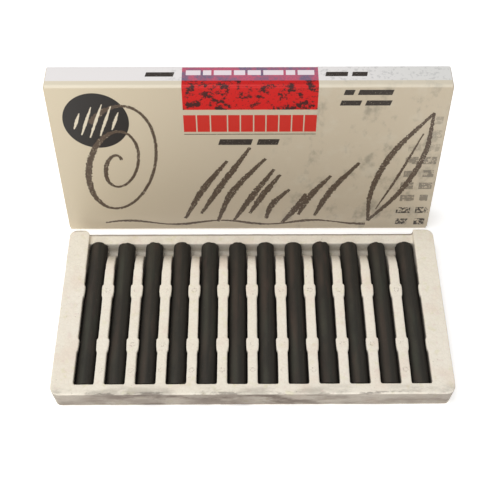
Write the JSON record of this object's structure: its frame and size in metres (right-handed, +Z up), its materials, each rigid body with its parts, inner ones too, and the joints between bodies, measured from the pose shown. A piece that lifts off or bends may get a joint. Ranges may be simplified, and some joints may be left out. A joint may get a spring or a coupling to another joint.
{
  "type": "charcoal stick set",
  "caption": "Round compressed charcoal sticks lying in the open slots of a moulded foam tray, with their flat tuck-end carton standing behind it.",
  "frame": {"origin": "middle of the tray's underside, on the table", "axes": "+X along the row of sticks, +Y from the tray's front rim towards the carton, +Z up"},
  "size_m": [0.1667, 0.1088, 0.089],
  "materials": {
    "foam": "fine-beaded moulded polystyrene foam, matt, with grey charcoal smudges",
    "charcoal": "dry pressed charcoal, matt, slightly dusty",
    "printed_board": "printed folding boxboard, satin varnish",
    "plain_board": "folding boxboard, uncoated inside"
  },
  "bodies": {
    "tray": {"tray": "foam"},
    "stick_01": {"charcoal_stick_01": "charcoal"},
    "stick_02": {"charcoal_stick_02": "charcoal"},
    "stick_03": {"charcoal_stick_03": "charcoal"},
    "stick_04": {"charcoal_stick_04": "charcoal"},
    "stick_05": {"charcoal_stick_05": "charcoal"},
    "stick_06": {"charcoal_stick_06": "charcoal"},
    "stick_07": {"charcoal_stick_07": "charcoal"},
    "stick_08": {"charcoal_stick_08": "charcoal"},
    "stick_09": {"charcoal_stick_09": "charcoal"},
    "stick_10": {"charcoal_stick_10": "charcoal"},
    "stick_11": {"charcoal_stick_11": "charcoal"},
    "stick_12": {"charcoal_stick_12": "charcoal"},
    "carton": {"carton_sleeve": "printed_board"},
    "closure_left": {"carton_closure_left": "plain_board"},
    "tongue_left": {"carton_tongue_left": "plain_board"},
    "dust_flap_lower_left": {"carton_dust_flap_lower_left": "plain_board"},
    "dust_flap_upper_left": {"carton_dust_flap_upper_left": "plain_board"},
    "closure_right": {"carton_closure_right": "plain_board"},
    "tongue_right": {"carton_tongue_right": "plain_board"},
    "dust_flap_lower_right": {"carton_dust_flap_lower_right": "plain_board"},
    "dust_flap_upper_right": {"carton_dust_flap_upper_right": "plain_board"}
  },
  "joints": [
    {"name": "stick_01_lift", "type": "slide", "parent": "tray", "child": "stick_01", "axis": [0, 0, 1], "range_m": [0, 0.03]},
    {"name": "stick_02_lift", "type": "slide", "parent": "tray", "child": "stick_02", "axis": [0, 0, 1], "range_m": [0, 0.03]},
    {"name": "stick_03_lift", "type": "slide", "parent": "tray", "child": "stick_03", "axis": [0, 0, 1], "range_m": [0, 0.03]},
    {"name": "stick_04_lift", "type": "slide", "parent": "tray", "child": "stick_04", "axis": [0, 0, 1], "range_m": [0, 0.03]},
    {"name": "stick_05_lift", "type": "slide", "parent": "tray", "child": "stick_05", "axis": [0, 0, 1], "range_m": [0, 0.03]},
    {"name": "stick_06_lift", "type": "slide", "parent": "tray", "child": "stick_06", "axis": [0, 0, 1], "range_m": [0, 0.03]},
    {"name": "stick_07_lift", "type": "slide", "parent": "tray", "child": "stick_07", "axis": [0, 0, 1], "range_m": [0, 0.03]},
    {"name": "stick_08_lift", "type": "slide", "parent": "tray", "child": "stick_08", "axis": [0, 0, 1], "range_m": [0, 0.03]},
    {"name": "stick_09_lift", "type": "slide", "parent": "tray", "child": "stick_09", "axis": [0, 0, 1], "range_m": [0, 0.03]},
    {"name": "stick_10_lift", "type": "slide", "parent": "tray", "child": "stick_10", "axis": [0, 0, 1], "range_m": [0, 0.03]},
    {"name": "stick_11_lift", "type": "slide", "parent": "tray", "child": "stick_11", "axis": [0, 0, 1], "range_m": [0, 0.03]},
    {"name": "stick_12_lift", "type": "slide", "parent": "tray", "child": "stick_12", "axis": [0, 0, 1], "range_m": [0, 0.03]},
    {"name": "carton_lift", "type": "slide", "parent": "tray", "child": "carton", "axis": [0, 0, 1], "range_m": [0, 0.05]},
    {"name": "closure_left_hinge", "type": "hinge", "parent": "carton", "child": "closure_left", "pos_m": [-0.084, 0.0653, 0.0445], "axis": [0, 0, 1], "range_deg": [-80, 0]},
    {"name": "tongue_left_fold", "type": "hinge", "parent": "closure_left", "child": "tongue_left", "pos_m": [-0.08395, 0.0539, 0.0445], "axis": [0, 0, 1], "range_deg": [0, 80]},
    {"name": "dust_flap_lower_left_hinge", "type": "hinge", "parent": "carton", "child": "dust_flap_lower_left", "pos_m": [-0.08345, 0.05905, 0.00055], "axis": [0, 1, 0], "range_deg": [0, 85]},
    {"name": "dust_flap_upper_left_hinge", "type": "hinge", "parent": "carton", "child": "dust_flap_upper_left", "pos_m": [-0.08345, 0.05905, 0.08845], "axis": [0, 1, 0], "range_deg": [-85, 0]},
    {"name": "closure_right_hinge", "type": "hinge", "parent": "carton", "child": "closure_right", "pos_m": [0.0814, 0.0653, 0.0445], "axis": [0, 0, 1], "range_deg": [0, 80]},
    {"name": "tongue_right_fold", "type": "hinge", "parent": "closure_right", "child": "tongue_right", "pos_m": [0.08135, 0.0539, 0.0445], "axis": [0, 0, 1], "range_deg": [-80, 0]},
    {"name": "dust_flap_lower_right_hinge", "type": "hinge", "parent": "carton", "child": "dust_flap_lower_right", "pos_m": [0.08085, 0.05905, 0.00055], "axis": [0, 1, 0], "range_deg": [-85, 0]},
    {"name": "dust_flap_upper_right_hinge", "type": "hinge", "parent": "carton", "child": "dust_flap_upper_right", "pos_m": [0.08085, 0.05905, 0.08845], "axis": [0, 1, 0], "range_deg": [0, 85]}
  ],
  "couplings": [
    {"joint": "tongue_left_fold", "follows": "closure_left_hinge", "ratio": -1},
    {"joint": "tongue_right_fold", "follows": "closure_right_hinge", "ratio": -1}
  ]
}
